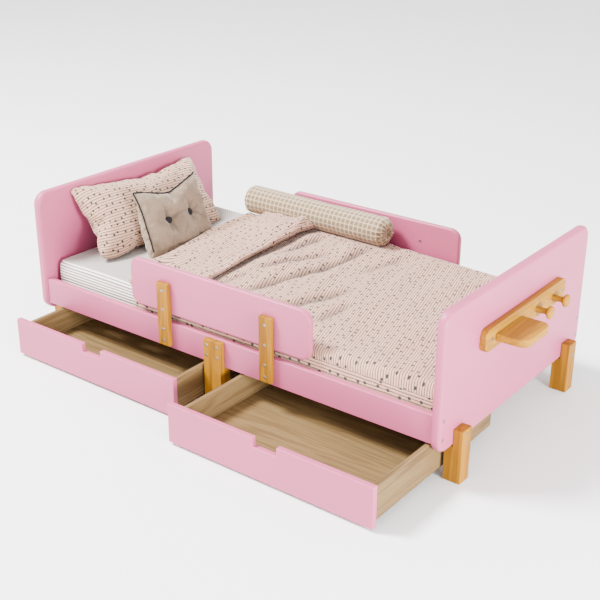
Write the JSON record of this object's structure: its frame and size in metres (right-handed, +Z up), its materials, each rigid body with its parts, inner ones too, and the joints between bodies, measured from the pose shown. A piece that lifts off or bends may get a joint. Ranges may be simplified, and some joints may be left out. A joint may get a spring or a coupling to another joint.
{
  "type": "toddler bed",
  "caption": "Low toddler bed with rounded end boards, guard rails, an end shelf with pegs, soft bedding, and wheeled drawers that roll out from under the side rail.",
  "frame": {"origin": "middle of the bottom of the box round the whole object, with the drawers part open", "axes": "+X along the bed from the headboard to the footboard, -Y the side that the drawers open towards, +Z up"},
  "size_m": [1.549, 1.018, 0.477],
  "materials": {
    "pink_paint": "satin pink paint on board",
    "honey_pine": "clear satin lacquer on honey-coloured pine",
    "pale_pine": "bare planed pine",
    "oak_board": "matt oak-coloured board",
    "grey_wheel": "moulded dark grey plastic",
    "white_cotton": "quilted white cotton",
    "striped_cotton": "cream cotton with fine stripes and small dots",
    "taupe_velvet": "taupe velvet with black piping",
    "checked_linen": "beige checked linen"
  },
  "bodies": {
    "bed": {"headboard_panel": "pink_paint", "footboard_panel": "pink_paint", "front_side_rail": "pink_paint", "back_side_rail": "pink_paint", "front_guard_panel": "pink_paint", "back_guard_panel": "pink_paint", "front_slat_ledger": "honey_pine", "back_slat_ledger": "honey_pine", "head_front_leg": "honey_pine", "head_back_leg": "honey_pine", "foot_front_leg": "honey_pine", "foot_back_leg": "honey_pine", "front_centre_leg": "honey_pine", "back_centre_leg": "honey_pine", "front_guard_post_head": "honey_pine", "front_guard_post_foot": "honey_pine", "back_guard_post_head": "honey_pine", "back_guard_post_foot": "honey_pine", "rack_backplate": "honey_pine", "rack_shelf": "honey_pine", "rack_peg_1": "honey_pine", "rack_peg_2": "honey_pine", "slat_1": "pale_pine", "slat_2": "pale_pine", "slat_3": "pale_pine", "slat_4": "pale_pine", "slat_5": "pale_pine", "slat_6": "pale_pine", "slat_7": "pale_pine", "slat_8": "pale_pine", "slat_9": "pale_pine", "mattress": "white_cotton", "duvet": "striped_cotton", "pillow": "striped_cotton", "button_cushion": "taupe_velvet", "bolster": "checked_linen"},
    "left_drawer": {"left_drawer_front": "pink_paint", "left_drawer_left_runner": "honey_pine", "left_drawer_right_runner": "honey_pine", "left_drawer_left_side": "oak_board", "left_drawer_right_side": "oak_board", "left_drawer_back": "oak_board", "left_drawer_bottom": "oak_board"},
    "right_drawer": {"right_drawer_front": "pink_paint", "right_drawer_left_runner": "honey_pine", "right_drawer_right_runner": "honey_pine", "right_drawer_left_side": "oak_board", "right_drawer_right_side": "oak_board", "right_drawer_back": "oak_board", "right_drawer_bottom": "oak_board"},
    "left_drawer_left_front_wheel": {"left_drawer_left_front_wheel": "grey_wheel"},
    "left_drawer_left_back_wheel": {"left_drawer_left_back_wheel": "grey_wheel"},
    "left_drawer_right_front_wheel": {"left_drawer_right_front_wheel": "grey_wheel"},
    "left_drawer_right_back_wheel": {"left_drawer_right_back_wheel": "grey_wheel"},
    "right_drawer_left_front_wheel": {"right_drawer_left_front_wheel": "grey_wheel"},
    "right_drawer_left_back_wheel": {"right_drawer_left_back_wheel": "grey_wheel"},
    "right_drawer_right_front_wheel": {"right_drawer_right_front_wheel": "grey_wheel"},
    "right_drawer_right_back_wheel": {"right_drawer_right_back_wheel": "grey_wheel"}
  },
  "joints": [
    {"name": "left_drawer_slide", "type": "slide", "parent": "bed", "child": "left_drawer", "axis": [0, -1, 0], "range_m": [-0.134, 0.296]},
    {"name": "right_drawer_slide", "type": "slide", "parent": "bed", "child": "right_drawer", "axis": [0, -1, 0], "range_m": [-0.236, 0.194]},
    {"name": "left_drawer_left_front_wheel_turn", "type": "hinge", "parent": "left_drawer", "child": "left_drawer_left_front_wheel", "pos_m": [-0.612, -0.3257, 0.018], "axis": [1, 0, 0], "continuous": true},
    {"name": "left_drawer_left_back_wheel_turn", "type": "hinge", "parent": "left_drawer", "child": "left_drawer_left_back_wheel", "pos_m": [-0.612, 0.086, 0.018], "axis": [1, 0, 0], "continuous": true},
    {"name": "left_drawer_right_front_wheel_turn", "type": "hinge", "parent": "left_drawer", "child": "left_drawer_right_front_wheel", "pos_m": [-0.136, -0.3257, 0.018], "axis": [1, 0, 0], "continuous": true},
    {"name": "left_drawer_right_back_wheel_turn", "type": "hinge", "parent": "left_drawer", "child": "left_drawer_right_back_wheel", "pos_m": [-0.136, 0.086, 0.018], "axis": [1, 0, 0], "continuous": true},
    {"name": "right_drawer_left_front_wheel_turn", "type": "hinge", "parent": "right_drawer", "child": "right_drawer_left_front_wheel", "pos_m": [0.104, -0.4277, 0.018], "axis": [1, 0, 0], "continuous": true},
    {"name": "right_drawer_left_back_wheel_turn", "type": "hinge", "parent": "right_drawer", "child": "right_drawer_left_back_wheel", "pos_m": [0.104, -0.016, 0.018], "axis": [1, 0, 0], "continuous": true},
    {"name": "right_drawer_right_front_wheel_turn", "type": "hinge", "parent": "right_drawer", "child": "right_drawer_right_front_wheel", "pos_m": [0.58, -0.4277, 0.018], "axis": [1, 0, 0], "continuous": true},
    {"name": "right_drawer_right_back_wheel_turn", "type": "hinge", "parent": "right_drawer", "child": "right_drawer_right_back_wheel", "pos_m": [0.58, -0.016, 0.018], "axis": [1, 0, 0], "continuous": true}
  ]
}
